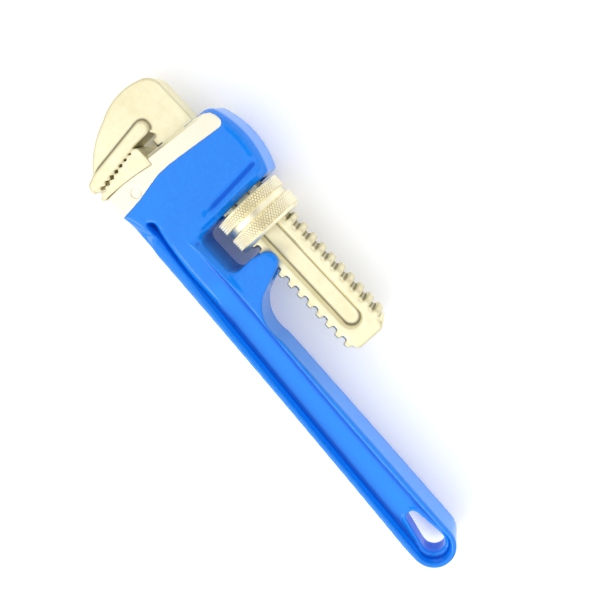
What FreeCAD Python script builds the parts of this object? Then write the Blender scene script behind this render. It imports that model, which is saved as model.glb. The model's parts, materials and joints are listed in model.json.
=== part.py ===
import FreeCAD, Part
import Sketcher
import math
import os

# A straight pipe wrench with an integral housing, lying on its side.
# Working axes: X runs along the hook jaw's shank towards the hook, Y points out
# of the mouth, Z is square to the broad sides. The working origin is on the
# shank's axis, level with the middle of the adjusting nut. Every finished piece
# is then moved by frame_x, frame_y and frame_z, which puts the row's origin
# under the middle of the whole wrench.

os.makedirs("parts", exist_ok=True)
doc = FreeCAD.newDocument("pipe_wrench")
V = FreeCAD.Vector

# ---------------------------------------------------------------- dimensions
SIZES = {
    # where the row's origin is, as a move from the working origin
    "frame_x": 41.12,
    "frame_y": -13.96,
    "frame_z": 14.7,
    # handle casting
    "bar_half": 9.5,
    "housing_half": 12.0,
    "ground_half": 11.8,
    "web_half": 4.4,
    "raised_draft": 28.0,
    "recess_draft": 9.0,
    "flange": 1.9,
    "end_radius": 9.2,
    "end_x": -141.4,
    "end_y": 38.1,
    "handle_lean": 2.55,
    "window_top": 8.0,
    "window_bottom": -11.1,
    "window_front": 22.0,
    "window_round": 3.6,
    "horn_floor": 14.5,
    "passage_half": 5.9,
    "passage_back": -11.0,
    "passage_front": 13.8,
    "hang_wide_x": -141.2,
    "hang_wide_y": 38.0,
    "hang_wide_radius": 4.7,
    "hang_narrow_x": -128.6,
    "hang_narrow_y": 37.3,
    "hang_narrow_radius": 2.6,
    "hang_lip": 1.3,
    "hang_lip_half": 5.2,
    # hook jaw
    "web_jaw_half": 5.5,
    "pad_half": 7.0,
    "crest_radius": 10.7,
    "root_radius": 8.9,
    "thread_pitch": 5.28,
    "thread_start": -1.3,
    "thread_top_front": 43.5,
    "thread_top_back": 37.0,
    "crest_flat": 2.38,
    "root_flat": 2.0,
    "shank_end": -64.5,
    "neck_back": -7.7,
    "neck_start": 38.0,
    "channel_half": 4.6,
    "channel_depth": 1.7,
    "channel_draft": 35.0,
    "channel_low": -56.5,
    "channel_high": 26.0,
    "tooth_pitch": 2.83,
    "tooth_depth": 1.3,
    # adjusting nut
    "nut_radius": 14.7,
    "nut_low": -8.0,
    "nut_high": 6.5,
    "nut_waist": 13.7,
    "nut_waist_low": -1.3,
    "nut_waist_high": 1.6,
    "nut_chamfer": 0.9,
    "thread_gap": 0.25,
    # heel jaw and its pin
    "tongue_half": 4.0,
    "tongue_low": 30.0,
    "tongue_back": 19.5,
    "tongue_front": 32.5,
    "seat_gap": 0.04,
    "pin_radius": 2.0,
    "pin_x": 36.6,
    "pin_y": 26.5,
    "pin_gap": 0.02,
    "pin_chamfer": 0.3,
    # springs
    "coil_x": 22.0,
    "coil_radius": 2.5,
    "coil_wire": 0.4,
    "coil_turns": 6.0,
    "coil_pocket_radius": 3.3,
    "coil_pocket_end": 20.6,
    "strip_near": 11.0,
    "strip_thick": 0.8,
    "strip_half": 4.2,
    "strip_low": 12.0,
    "strip_high": 39.0,
    "rivet_radius": 1.1,
    "rivet_head": 1.8,
    "rivet_head_high": 1.2,
    "rivet_bevel": 0.5,
}

sheet = doc.addObject("Spreadsheet::Sheet", "Sizes")
for row, (alias, number) in enumerate(SIZES.items(), start=1):
    sheet.set(f"A{row}", alias)
    sheet.set(f"B{row}", str(number))
    sheet.setAlias(f"B{row}", alias)
doc.recompute()


def size(alias):
    """The value of one cell of the sheet, in millimetres or degrees."""
    return float(getattr(sheet, alias))


# ------------------------------------------------------------------- helpers
def new_body(label):
    body = doc.addObject("PartDesign::Body", label)
    body.Label = label
    return body


def new_sketch(body, name, role="XY_Plane", level=None):
    """An empty sketch on one of the body's own origin planes."""
    sketch = body.newObject("Sketcher::SketchObject", name)
    plane = [item for item in body.Origin.OriginFeatures if item.Role == role][0]
    sketch.AttachmentSupport = [(plane, "")]
    sketch.MapMode = "FlatFace"
    if level is not None:
        sketch.setExpression("AttachmentOffset.Base.z", level)
    return sketch


def draw(sketch, path):
    """A closed outline. A pair is a corner, a list of two pairs is an arc
    through the first to the second."""
    start = path[0]
    here = start
    for step in path[1:] + [start]:
        arc = isinstance(step, list)
        there = step[1] if arc else step
        if math.dist(here, there) < 1e-6:
            continue
        if arc:
            edge = Part.Arc(V(*here, 0), V(*step[0], 0), V(*there, 0))
        else:
            edge = Part.LineSegment(V(*here, 0), V(*there, 0))
        sketch.addGeometry(edge, False)
        here = there
    count = sketch.GeometryCount
    for index in range(count):
        after = (index + 1) % count
        one = end_vertex(sketch, index, after)
        other = end_vertex(sketch, after, index)
        sketch.addConstraint(Sketcher.Constraint("Coincident", index, one, after, other))


def end_vertex(sketch, index, neighbour):
    """Which end of an edge, 1 or 2, lies on its neighbour in the outline."""
    if sketch.GeometryCount == 2:
        # both ends of two edges meet, so their order decides
        return 2 if index == 0 else 1
    ends = [sketch.getPoint(index, 1), sketch.getPoint(index, 2)]
    others = [sketch.getPoint(neighbour, 1), sketch.getPoint(neighbour, 2)]
    reach = [min((end - other).Length for other in others) for end in ends]
    return 1 if reach[0] < reach[1] else 2


def draw_box(sketch, low_x, high_x, low_y, high_y):
    """A rectangle whose four sides are each bound to an expression."""
    values = [float(sheet.evalExpression(text)) for text in (low_x, high_x, low_y, high_y)]
    x0, x1, y0, y1 = values
    corners = [V(x0, y0, 0), V(x1, y0, 0), V(x1, y1, 0), V(x0, y1, 0)]
    for index in range(4):
        sketch.addGeometry(Part.LineSegment(corners[index], corners[(index + 1) % 4]), False)
    for index in range(4):
        sketch.addConstraint(Sketcher.Constraint("Coincident", index, 2, (index + 1) % 4, 1))
    for index, kind in enumerate(("Horizontal", "Vertical", "Horizontal", "Vertical")):
        sketch.addConstraint(Sketcher.Constraint(kind, index))
    bound = (
        ("low_x", "DistanceX", 0, x0, low_x),
        ("low_y", "DistanceY", 0, y0, low_y),
        ("high_x", "DistanceX", 2, x1, high_x),
        ("high_y", "DistanceY", 2, y1, high_y),
    )
    for name, kind, edge, value, text in bound:
        number = sketch.addConstraint(Sketcher.Constraint(kind, -1, 1, edge, 1, value))
        sketch.renameConstraint(number, name)
        sketch.setExpression(f".Constraints.{name}", text)


def draw_circle(sketch, x, y, radius):
    """A circle whose place and radius are each bound to an expression."""
    values = [float(sheet.evalExpression(text)) for text in (x, y, radius)]
    sketch.addGeometry(Part.Circle(V(values[0], values[1], 0), V(0, 0, 1), values[2]), False)
    bound = (
        ("centre_x", Sketcher.Constraint("DistanceX", -1, 1, 0, 3, values[0]), x),
        ("centre_y", Sketcher.Constraint("DistanceY", -1, 1, 0, 3, values[1]), y),
        ("radius", Sketcher.Constraint("Radius", 0, values[2]), radius),
    )
    for name, constraint, text in bound:
        number = sketch.addConstraint(constraint)
        sketch.renameConstraint(number, name)
        sketch.setExpression(f".Constraints.{name}", text)


def pad(body, sketch, length, symmetric=True, draft=None, reverse=False):
    feature = body.newObject("PartDesign::Pad", sketch.Name + "_pad")
    feature.Profile = sketch
    feature.SideType = "Symmetric" if symmetric else "One side"
    feature.Reversed = reverse
    feature.setExpression("Length", length)
    if draft:
        feature.setExpression("TaperAngle", draft)
    return finish(feature, grows=True)


def pocket(body, sketch, length, symmetric=True, draft=None, reverse=False):
    feature = body.newObject("PartDesign::Pocket", sketch.Name + "_pocket")
    feature.Profile = sketch
    feature.SideType = "Symmetric" if symmetric else "One side"
    feature.Reversed = reverse
    feature.setExpression("Length", length)
    if draft:
        feature.setExpression("TaperAngle", draft)
    return finish(feature, grows=False)


def mirrored(body, features):
    """The same features on the other broad side."""
    feature = body.newObject("PartDesign::Mirrored", features[0].Name + "_far_side")
    feature.Originals = features
    plane = [item for item in body.Origin.OriginFeatures if item.Role == "XY_Plane"][0]
    feature.MirrorPlane = (plane, [""])
    body.Tip = feature
    doc.recompute()
    print(f"{feature.Name}: volume {feature.Shape.Volume:.0f}")
    return feature


def rounded(body, edges, radius, name):
    """A fillet on the picked edges of the body's last feature."""
    base = body.Tip
    feature = body.newObject("PartDesign::Fillet", name)
    feature.Base = (base, edges)
    feature.setExpression("Radius", radius)
    doc.recompute()
    print(f"{name}: {len(edges)} edges, volume {feature.Shape.Volume:.0f}")
    return feature


last_volume = {}


def finish(feature, grows):
    """Recompute a feature and check that it really added or removed metal."""
    body = feature.getParentGeoFeatureGroup()
    doc.recompute()
    volume = feature.Shape.Volume
    before = last_volume.get(body.Name, 0.0)
    changed = volume > before if grows else volume < before - 1e-3
    print(f"{feature.Name}: volume {volume:.0f}")
    if not changed:
        raise RuntimeError(f"{feature.Name} changed nothing: {before} to {volume}")
    last_volume[body.Name] = volume
    return feature


def edges_where(shape, test):
    """Names of the edges whose every sampled point passes the test."""
    found = []
    for index, edge in enumerate(shape.Edges, start=1):
        points = edge.discretize(5)
        if all(test(point) for point in points):
            found.append(f"Edge{index}")
    return found


# each row has this many saw teeth, whose steep flanks take this share of a tooth
TOOTH_COUNT = 8
STEEP_SHARE = 0.36


def saw_line(first, last, count, depth, steep):
    """Corners of a row of saw teeth from one root to the last, the crests
    standing off the root line by depth along X, the steep flank first when
    steep is under a half."""
    corners = []
    for index in range(count):
        at = [(index + part) / count for part in (0.0, steep)]
        for share, rise in zip(at, (0.0, depth)):
            x = first[0] + (last[0] - first[0]) * share + rise
            y = first[1] + (last[1] - first[1]) * share
            corners.append((x, y))
    corners.append(last)
    return corners


def helical_ridge(pitch, first, last, inner, outer, inner_width, outer_width):
    """A right-hand helical ridge about X, from one angle in degrees to another.
    Angle 0 points along -Z and 90 along +Y; the ridge is at x = 0 at angle 0."""
    helix = Part.makeHelix(pitch, pitch * (last - first) / 360, inner)
    half_inner = inner_width / 2
    half_outer = outer_width / 2
    corners = [V(inner, 0, -half_inner), V(outer, 0, -half_outer),
               V(outer, 0, half_outer), V(inner, 0, half_inner)]
    section = Part.makePolygon(corners + [corners[0]])
    ridge = Part.Wire(helix.Edges).makePipeShell([section], True, True)
    ridge.rotate(V(0, 0, 0), V(0, 0, 1), first)
    ridge.translate(V(0, 0, pitch * first / 360))
    ridge.rotate(V(0, 0, 0), V(0, 1, 0), 90)
    return ridge


def place(piece, label):
    """Move a finished piece from the working origin into the row's frame."""
    piece.Label = label
    for axis in "xyz":
        piece.setExpression(f"Placement.Base.{axis}", f"Sizes.frame_{axis}")
    return piece


# -------------------------------------------------------------------- handle
def handle_axis_y(x):
    """Height of the handle's centre line, which leans away from the shank."""
    lean = math.tan(math.radians(size("handle_lean")))
    return size("end_y") + lean * (size("end_x") - x)


def casting_outline():
    """The whole casting in plan: handle, horn, nut window and housing."""
    end_x = size("end_x")
    end_y = handle_axis_y(end_x)
    end_r = size("end_radius")
    window_top = size("window_top")
    window_low = size("window_bottom")
    front = size("window_front")
    turn = size("window_round")
    slant = turn * (1 - math.cos(math.radians(45)))
    return [
        (33.2, 37.6),
        [(-53.0, 41.9), (-126.0, 46.6)],
        [(-133.8, 47.2), (end_x, end_y + end_r)],
        [(end_x - end_r, end_y), (end_x, end_y - end_r)],
        [(-90.0, 27.1), (-42.0, 25.6)],
        [(-31.0, 24.6), (-24.6, 18.8)],
        (-20.6, 8.2),
        [(-16.4, 4.2), (-12.2, 7.2)],
        (window_low, 12.0),
        (window_low, front - turn),
        [(window_low + slant, front - slant), (window_low + turn, front)],
        (window_top - turn, front),
        [(window_top - slant, front - slant), (window_top, front - turn)],
        (window_top, -15.6),
        [(24.5, -19.4), (38.0, -17.0)],
        [(40.3, -14.9), (40.8, -11.5)],
        (43.9, 13.6),
        (43.9, 37.9),
    ]


def raised_outline():
    """The housing's raised broad face, at the level of the handle's flanges."""
    return [
        (32.0, 37.9),
        (24.0, 35.5),
        [(14.0, 28.5), (9.2, 19.0)],
        (9.0, -15.4),
        [(24.5, -19.0), (37.9, -16.7)],
        [(40.0, -14.7), (40.5, -11.5)],
        (43.6, 13.6),
        (43.6, 37.9),
    ]


def recess_outline():
    """The floor of the hollow between the handle's flanges."""
    end_x = size("end_x")
    end_y = handle_axis_y(end_x)
    inset = size("flange") + 1.0
    end_r = size("end_radius") - inset
    return [
        (24.5, 31.6),
        [(-10.0, 35.6), (-44.0, 38.2)],
        [(-92.0, 41.4), (end_x, end_y + end_r)],
        [(end_x - end_r, end_y), (end_x, end_y - end_r)],
        [(-92.0, 30.4), (-50.0, 28.3)],
        (-20.0, 26.4),
        (4.0, 24.9),
        (14.0, 26.0),
        (23.0, 29.2),
    ]


def ground_outline():
    """The bare ground strip across the top of the housing's broad face."""
    return [
        (33.2, 42.0),
        [(33.7, 27.0), (35.6, 15.4)],
        [(34.6, 4.0), (32.0, -13.0)],
        [(32.3, -15.6), (34.4, -16.4)],
        [(38.2, -15.2), (41.0, -9.0)],
        (60.0, 0.0),
        (60.0, 42.0),
    ]


def seat_outline():
    """The casting seat under the heel jaw, just clear of the jaw's underside."""
    gap = size("seat_gap")
    return [
        (39.9 - gap, 14.2),
        [(41.5 - gap, 21.8), (43.0 - gap, 38.8)],
        (60.0, 38.8),
        (60.0, 14.2),
    ]


def hang_outline(extra):
    """The teardrop hole: two circles joined by their outer tangents."""
    wide = (size("hang_wide_x"), size("hang_wide_y"))
    narrow = (size("hang_narrow_x"), size("hang_narrow_y"))
    wide_r = size("hang_wide_radius") + extra
    narrow_r = size("hang_narrow_radius") + extra
    heading = math.atan2(narrow[1] - wide[1], narrow[0] - wide[0])
    spread = math.acos((wide_r - narrow_r) / math.dist(wide, narrow))

    def rim(centre, radius, angle):
        return (centre[0] + radius * math.cos(angle), centre[1] + radius * math.sin(angle))

    return [
        rim(wide, wide_r, heading - spread),
        rim(narrow, narrow_r, heading - spread),
        [rim(narrow, narrow_r, heading), rim(narrow, narrow_r, heading + spread)],
        rim(wide, wide_r, heading + spread),
        [rim(wide, wide_r, heading + math.pi), rim(wide, wide_r, heading - spread)],
    ]


def make_handle():
    body = new_body("handle")
    plan = new_sketch(body, "casting_plan")
    draw(plan, casting_outline())
    pad(body, plan, "Sizes.bar_half * 2")

    raised = new_sketch(body, "raised_face", level="Sizes.bar_half - 0.01")
    draw(raised, raised_outline())
    step = "Sizes.housing_half - Sizes.bar_half + 0.01"
    raise_up = pad(body, raised, step, symmetric=False, draft="-Sizes.raised_draft")

    recess = new_sketch(body, "recess", level="Sizes.web_half")
    draw(recess, recess_outline())
    depth = "Sizes.housing_half - Sizes.web_half + 1"
    hollow = pocket(body, recess, depth, symmetric=False, draft="Sizes.recess_draft", reverse=True)

    strip = new_sketch(body, "ground_strip", level="Sizes.ground_half")
    draw(strip, ground_outline())
    ground = pocket(body, strip, "2", symmetric=False, reverse=True)

    lip = new_sketch(body, "hang_hole_lip", level="Sizes.web_half - 0.01")
    draw(lip, hang_outline(size("hang_lip")))
    lip_step = "Sizes.hang_lip_half - Sizes.web_half + 0.01"
    collar = pad(body, lip, lip_step, symmetric=False, draft="-Sizes.recess_draft")
    mirrored(body, [raise_up, hollow, ground, collar])
    last_volume[body.Name] = body.Tip.Shape.Volume

    hang = new_sketch(body, "hang_hole")
    draw(hang, hang_outline(0.0))
    pocket(body, hang, "Sizes.housing_half * 2")

    passage = new_sketch(body, "shank_passage")
    draw_box(passage, "Sizes.window_top - 3", "50", "Sizes.passage_back", "Sizes.passage_front")
    pocket(body, passage, "Sizes.passage_half * 2")

    fork = new_sketch(body, "horn_fork")
    draw_box(fork, "-30", "Sizes.window_bottom + 2", "0", "Sizes.horn_floor")
    pocket(body, fork, "Sizes.passage_half * 2")

    seat = new_sketch(body, "heel_seat")
    draw(seat, seat_outline())
    pocket(body, seat, "Sizes.housing_half * 2 + 2")

    slot = new_sketch(body, "heel_slot")
    draw_box(slot, "Sizes.tongue_low - Sizes.seat_gap", "50",
             "Sizes.tongue_back - Sizes.seat_gap", "Sizes.tongue_front + Sizes.seat_gap")
    pocket(body, slot, "(Sizes.tongue_half + Sizes.seat_gap) * 2")

    bore = new_sketch(body, "heel_pin_bore")
    draw_circle(bore, "Sizes.pin_x", "Sizes.pin_y", "Sizes.pin_radius + Sizes.pin_gap")
    pocket(body, bore, "Sizes.housing_half * 2 + 2")

    # the XZ plane's normal is -Y, so the bore's level is minus its height
    spring_bore = new_sketch(body, "spring_bore", "XZ_Plane", "-Sizes.passage_front + 1")
    draw_circle(spring_bore, "Sizes.coil_x", "0", "Sizes.coil_pocket_radius")
    pocket(body, spring_bore, "Sizes.coil_pocket_end - Sizes.passage_front + 1",
           symmetric=False)
    return body


def make_heel_jaw():
    body = new_body("heel_jaw")
    head = new_sketch(body, "toothed_head")
    teeth = saw_line((44.77, 37.49), (48.48, 14.85), TOOTH_COUNT, size("tooth_depth"),
                     STEEP_SHARE)
    underside = [(39.9, 14.2), [(41.5, 21.8), (43.0, 38.4)]]
    draw(head, underside + [(44.5, 38.4)] + teeth + [(47.6, 14.2)])
    pad(body, head, "Sizes.ground_half * 2")
    tongue = new_sketch(body, "tongue")
    draw_box(tongue, "Sizes.tongue_low", "44", "Sizes.tongue_back", "Sizes.tongue_front")
    pad(body, tongue, "Sizes.tongue_half * 2")
    bore = new_sketch(body, "tongue_bore")
    draw_circle(bore, "Sizes.pin_x", "Sizes.pin_y", "Sizes.pin_radius + Sizes.pin_gap")
    pocket(body, bore, "Sizes.housing_half * 2")
    return body


def make_heel_jaw_pin():
    body = new_body("heel_jaw_pin")
    round_bar = new_sketch(body, "pin_section")
    draw_circle(round_bar, "Sizes.pin_x", "Sizes.pin_y", "Sizes.pin_radius")
    pad(body, round_bar, "(Sizes.ground_half - 0.1) * 2")
    bar = body.Tip
    ends = edges_where(bar.Shape, lambda point: abs(point.z) > 10)
    chamfer = body.newObject("PartDesign::Chamfer", "pin_ends")
    chamfer.Base = (bar, ends)
    chamfer.setExpression("Size", "Sizes.pin_chamfer")
    doc.recompute()
    return body


# ------------------------------------------------------------------ hook jaw
def make_hook_jaw():
    shank = new_body("shank_blank")
    crest = size("crest_radius")
    end = size("shank_end")
    plan = new_sketch(shank, "shank_plan")
    neck = size("neck_start")
    back = size("neck_back")
    draw(plan, [
        (end, -5.6), (end + 5.2, -crest - 0.5), (neck - 3.0, -crest - 0.5),
        (neck, back), (47.4, back), (47.4, 7.0), (46.9, crest + 0.5),
        (end + 5.2, crest + 0.5), (end, 5.6),
    ])
    pad(shank, plan, "Sizes.web_jaw_half * 2")
    channel = new_sketch(shank, "face_channel", level="Sizes.web_jaw_half - Sizes.channel_depth")
    low = size("channel_low")
    high = size("channel_high")
    spread = size("channel_depth") * math.tan(math.radians(size("channel_draft")))
    half = size("channel_half") - spread
    draw(channel, [
        (high, -half), (high, half), (low + half, half),
        [(low, 0.0), (low + half, -half)],
    ])
    cut = pocket(shank, channel, "Sizes.channel_depth + 1", symmetric=False,
                 draft="Sizes.channel_draft", reverse=True)
    mirrored(shank, [cut])

    round_bar = doc.addObject("Part::Cylinder", "shank_round")
    round_bar.setExpression("Radius", "Sizes.crest_radius")
    round_bar.setExpression("Height", "50 - Sizes.shank_end")
    round_bar.Placement = FreeCAD.Placement(V(end, 0, 0), FreeCAD.Rotation(V(0, 1, 0), 90))
    rolled = doc.addObject("Part::Common", "shank_rolled")
    rolled.Base = shank
    rolled.Tool = round_bar

    pitch = size("thread_pitch")
    root = size("root_radius")
    overshoot = 0.6
    flare = (pitch - size("crest_flat") - size("root_flat")) / (crest - root)
    mouth = pitch - size("crest_flat") + flare * overshoot
    # each narrow edge only meets the thread over this much of a turn
    reach = 48
    notches = []
    for centre in (90, 270):
        notch = helical_ridge(pitch, centre - reach, centre + reach, root, crest + overshoot,
                              size("root_flat"), mouth)
        at = size("thread_start") + pitch * math.ceil((end - size("thread_start")) / pitch - 1)
        top = size("thread_top_front") if centre == 90 else size("thread_top_back")
        while at + pitch * centre / 360 < top:
            copy = notch.copy()
            copy.translate(V(at, 0, 0))
            notches.append(copy)
            at += pitch
    groove = doc.addObject("Part::Feature", "thread_notches")
    groove.Shape = Part.makeCompound(notches)
    threaded = doc.addObject("Part::Cut", "shank_threaded")
    threaded.Base = rolled
    threaded.Tool = groove
    doc.recompute()
    print(f"shank_threaded: volume {threaded.Shape.Volume:.0f}")

    hook = new_body("hook_head")
    teeth = hook_teeth()
    web = new_sketch(hook, "hook_plan")
    draw(web, [
        (45.0, back), (60.6, back), [(63.6, -6.5), (66.0, -3.9)], [(68.3, 5.0), (65.6, 18.6)],
        [(61.4, 27.8), (54.6, 35.8)], (52.6, 39.4), [(50.4, 40.6), (48.2, 40.6)],
        *teeth, (50.3, 10.2), [(49.7, 8.0), (47.4, 7.0)], (45.0, 7.0),
    ])
    pad(hook, web, "Sizes.web_jaw_half * 2")
    raised = new_sketch(hook, "tooth_pad")
    draw(raised, [
        (53.8, 35.4), (52.7, 39.4), [(50.4, 40.7), (48.1, 40.7)],
        *teeth, (49.9, 9.4), [(53.0, 6.2), (55.9, 9.4)],
    ])
    pad(hook, raised, "Sizes.pad_half * 2")
    flat = size("pad_half") - 0.05
    rim = edges_where(hook.Tip.Shape, lambda point: abs(point.z) > flat and point.x > 51.5)
    rounded(hook, rim, "0.7", "pad_rounding")

    jaw = doc.addObject("Part::Fuse", "hook_jaw_whole")
    jaw.Base = threaded
    jaw.Tool = hook
    return jaw


def hook_teeth():
    """The hook's saw teeth, crests towards the heel jaw, from the tip inwards."""
    return saw_line((48.35, 39.3), (50.05, 16.66), TOOTH_COUNT, -size("tooth_depth"),
                    1 - STEEP_SHARE)


# ----------------------------------------------------------------------- nut
def make_adjusting_nut():
    blank = new_body("nut_blank")
    low = size("nut_low")
    high = size("nut_high")
    outer = size("nut_radius")
    waist = size("nut_waist")
    bevel = size("nut_chamfer")
    bore = size("crest_radius") + size("thread_gap")
    waist_low = size("nut_waist_low")
    waist_high = size("nut_waist_high")
    section = new_sketch(blank, "nut_section")
    draw(section, [
        (low, bore), (low, outer - bevel), (low + bevel, outer),
        (waist_low - 0.3, outer), (waist_low, waist), (waist_high, waist),
        (waist_high + 0.3, outer), (high - bevel, outer), (high, outer - bevel),
        (high, bore),
    ])
    turned = blank.newObject("PartDesign::Revolution", "nut_turned")
    turned.Profile = section
    turned.ReferenceAxis = (section, ["H_Axis"])
    turned.Angle = 360
    doc.recompute()

    pitch = size("thread_pitch")
    gap = size("thread_gap")
    crest = size("crest_radius")
    root = size("root_radius")
    flank_slope = (pitch - size("crest_flat") - size("root_flat")) / (crest - root)
    inner = root + gap
    outer_end = bore + 0.5
    inner_width = size("root_flat") + flank_slope * gap - 2 * gap
    outer_width = inner_width + flank_slope * (outer_end - inner)
    # started whole turns below the nut, so that it meshes with the shank's notches
    turns_below = math.ceil((size("thread_start") - low) / pitch) + 1
    turns = turns_below + math.ceil((high - size("thread_start")) / pitch) + 1
    ridge = doc.addObject("Part::Feature", "nut_thread")
    whole = helical_ridge(pitch, 0, 360 * turns, inner, outer_end, inner_width, outer_width)
    whole.translate(V(size("thread_start") - pitch * turns_below, 0, 0))
    slab = Part.makeCylinder(outer_end + 1, high - low - 0.4, V(low + 0.2, 0, 0), V(1, 0, 0))
    ridge.Shape = whole.common(slab)
    nut = doc.addObject("Part::Fuse", "nut_whole")
    nut.Base = blank
    nut.Tool = ridge
    return nut


# ------------------------------------------------------------------- springs
def make_flat_spring():
    body = new_body("flat_spring")
    section = new_sketch(body, "strip_section")
    near = size("strip_near")
    far = near + size("strip_thick")
    low = size("strip_low")
    high = size("strip_high")
    draw(section, [
        (low, near), (high, near), (high + 1.3, near + 0.7), (high + 1.3, near + 1.8),
        (high - 0.1, far), (low, far),
    ])
    pad(body, section, "Sizes.strip_half * 2")
    # the sketch faces -Y, so the hole is cut from the near face outwards
    hole = new_sketch(body, "rivet_hole", "XZ_Plane", "-Sizes.strip_near + 1")
    draw_circle(hole, "Sizes.coil_x", "0", "Sizes.rivet_radius + 0.02")
    pocket(body, hole, "Sizes.strip_thick + 2", symmetric=False)
    return body


def make_spring_rivet():
    """Its shank fills the strip's hole, flush on the side of the thread, and
    its bevelled head stands inside the coil."""
    body = new_body("spring_rivet")
    section = new_sketch(body, "rivet_section")
    near = size("strip_near")
    far = near + size("strip_thick")
    centre = size("coil_x")
    shank = centre + size("rivet_radius")
    head = centre + size("rivet_head")
    under = far + 0.03
    top = under + size("rivet_head_high")
    bevel = size("rivet_bevel")
    draw(section, [
        (centre, near + 0.05), (shank, near + 0.05), (shank, under), (head, under),
        (head, top - bevel), (head - bevel, top), (centre, top),
    ])
    turned = body.newObject("PartDesign::Revolution", "rivet_turned")
    turned.Profile = section
    section.addGeometry(Part.LineSegment(V(centre, 0, 0), V(centre, 20, 0)), True)
    turned.ReferenceAxis = (section, ["Axis0"])
    turned.Angle = 360
    doc.recompute()
    return body


def make_coil_spring():
    start = size("strip_near") + size("strip_thick") + size("coil_wire") + 0.05
    stop = size("coil_pocket_end") - size("coil_wire") - 0.05
    length = stop - start
    helix = Part.makeHelix(length / size("coil_turns"), length, size("coil_radius"))
    wire_end = V(size("coil_radius"), 0, 0)
    section = Part.Wire(Part.makeCircle(size("coil_wire"), wire_end, V(0, 1, 0)))
    shell = Part.Wire(helix.Edges).makePipeShell([section], True, True)
    coil = doc.addObject("Part::Feature", "coil_wound")
    turned = Part.Solid(shell) if shell.ShapeType != "Solid" else shell
    turned.rotate(V(0, 0, 0), V(1, 0, 0), -90)
    turned.translate(V(size("coil_x"), start, 0))
    # inside a compound the coil keeps its place when the compound is placed
    coil.Shape = Part.makeCompound([turned])
    return coil


# ------------------------------------------------------------ build and write
PIECES = {
    "handle": make_handle,
    "heel_jaw": make_heel_jaw,
    "heel_jaw_pin": make_heel_jaw_pin,
    "hook_jaw": make_hook_jaw,
    "adjusting_nut": make_adjusting_nut,
    "flat_spring": make_flat_spring,
    "coil_spring": make_coil_spring,
    "spring_rivet": make_spring_rivet,
}

finished = {name: place(make(), name) for name, make in PIECES.items()}
doc.recompute()

for item in doc.Objects:
    bad = [state for state in item.State if state in ("Invalid", "Error")]
    if bad:
        raise RuntimeError(f"{item.Name} is {bad}")

whole = FreeCAD.BoundBox()
for name, piece in finished.items():
    shape = piece.Shape
    if shape.isNull() or not shape.isValid():
        raise RuntimeError(f"{name} has no valid shape")
    whole.add(shape.optimalBoundingBox(False))
    print(f"{name}: {len(shape.Solids)} solid, {shape.Volume / 1000:.2f} cm3")
    shape.exportStep(f"parts/{name}.step")
print(f"whole: X {whole.XMin:.2f} to {whole.XMax:.2f}, Y {whole.YMin:.2f} to {whole.YMax:.2f},"
      f" Z {whole.ZMin:.2f} to {whole.ZMax:.2f}")
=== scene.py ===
# %% [markdown]
# # A heavy-duty pipe wrench
# The wrench is a blue enamelled iron casting, a plated steel hook jaw that slides
# through it, a knurled nut that moves the hook, a toothed heel jaw and a hidden
# spring pack. The engineering model is loaded first, as a fixed frame: it says
# where every piece is, how large it is and how it moves. Everything below only
# gives those pieces their finished surfaces.

# %% Load the frame
import json
import math

import bmesh
import bpy
import numpy as np
from mathutils import Matrix, Vector


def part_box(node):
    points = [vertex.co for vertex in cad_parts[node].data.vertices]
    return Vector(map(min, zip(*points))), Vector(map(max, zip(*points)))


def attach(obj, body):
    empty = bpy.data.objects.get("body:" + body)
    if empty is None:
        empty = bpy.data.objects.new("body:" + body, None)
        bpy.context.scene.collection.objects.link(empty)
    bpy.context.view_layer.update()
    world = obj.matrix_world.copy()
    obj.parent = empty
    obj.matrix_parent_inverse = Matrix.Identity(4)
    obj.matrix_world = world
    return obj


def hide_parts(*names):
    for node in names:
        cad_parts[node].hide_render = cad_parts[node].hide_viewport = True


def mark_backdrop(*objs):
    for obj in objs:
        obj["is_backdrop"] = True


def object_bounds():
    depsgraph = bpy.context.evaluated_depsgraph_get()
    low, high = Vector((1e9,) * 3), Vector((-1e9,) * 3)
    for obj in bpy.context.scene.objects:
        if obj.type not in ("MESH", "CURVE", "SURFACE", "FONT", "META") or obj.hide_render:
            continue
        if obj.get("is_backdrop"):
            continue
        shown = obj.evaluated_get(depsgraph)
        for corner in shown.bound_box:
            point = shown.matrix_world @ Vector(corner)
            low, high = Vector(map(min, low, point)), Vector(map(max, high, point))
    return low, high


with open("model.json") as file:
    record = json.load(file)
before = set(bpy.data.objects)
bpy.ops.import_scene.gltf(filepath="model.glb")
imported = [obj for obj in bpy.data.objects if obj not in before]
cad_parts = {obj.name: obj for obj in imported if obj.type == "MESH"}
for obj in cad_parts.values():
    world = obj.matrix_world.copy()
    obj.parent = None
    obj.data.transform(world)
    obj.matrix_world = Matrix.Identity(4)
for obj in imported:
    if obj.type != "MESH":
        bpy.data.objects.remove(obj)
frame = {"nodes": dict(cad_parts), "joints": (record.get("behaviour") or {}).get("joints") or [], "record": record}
cad_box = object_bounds()
MM = 0.001
scene = bpy.context.scene
joints = {joint["name"]: joint for joint in frame["joints"]}
nut_centre = Vector(joints["nut_spin"]["pos_m"])

# %% [markdown]
# ## Where things are
# The shank's axis runs along X through the middle of the nut, so that point is a
# handy place to measure from. A helper turns millimetres from the nut's centre
# into metres in the frame, and another turns an array of points the other way.


# %% Measuring from the nut
def from_nut(x, y, z):
    """Millimetres from the nut's centre to metres in the frame."""
    return nut_centre + Vector((x, y, z)) * MM


def to_nut(points):
    """An array of frame points, in metres, to millimetres from the nut's centre."""
    return (points - np.array(nut_centre)) / MM


print("nut centre, mm:", [round(value / MM, 2) for value in nut_centre])

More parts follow.
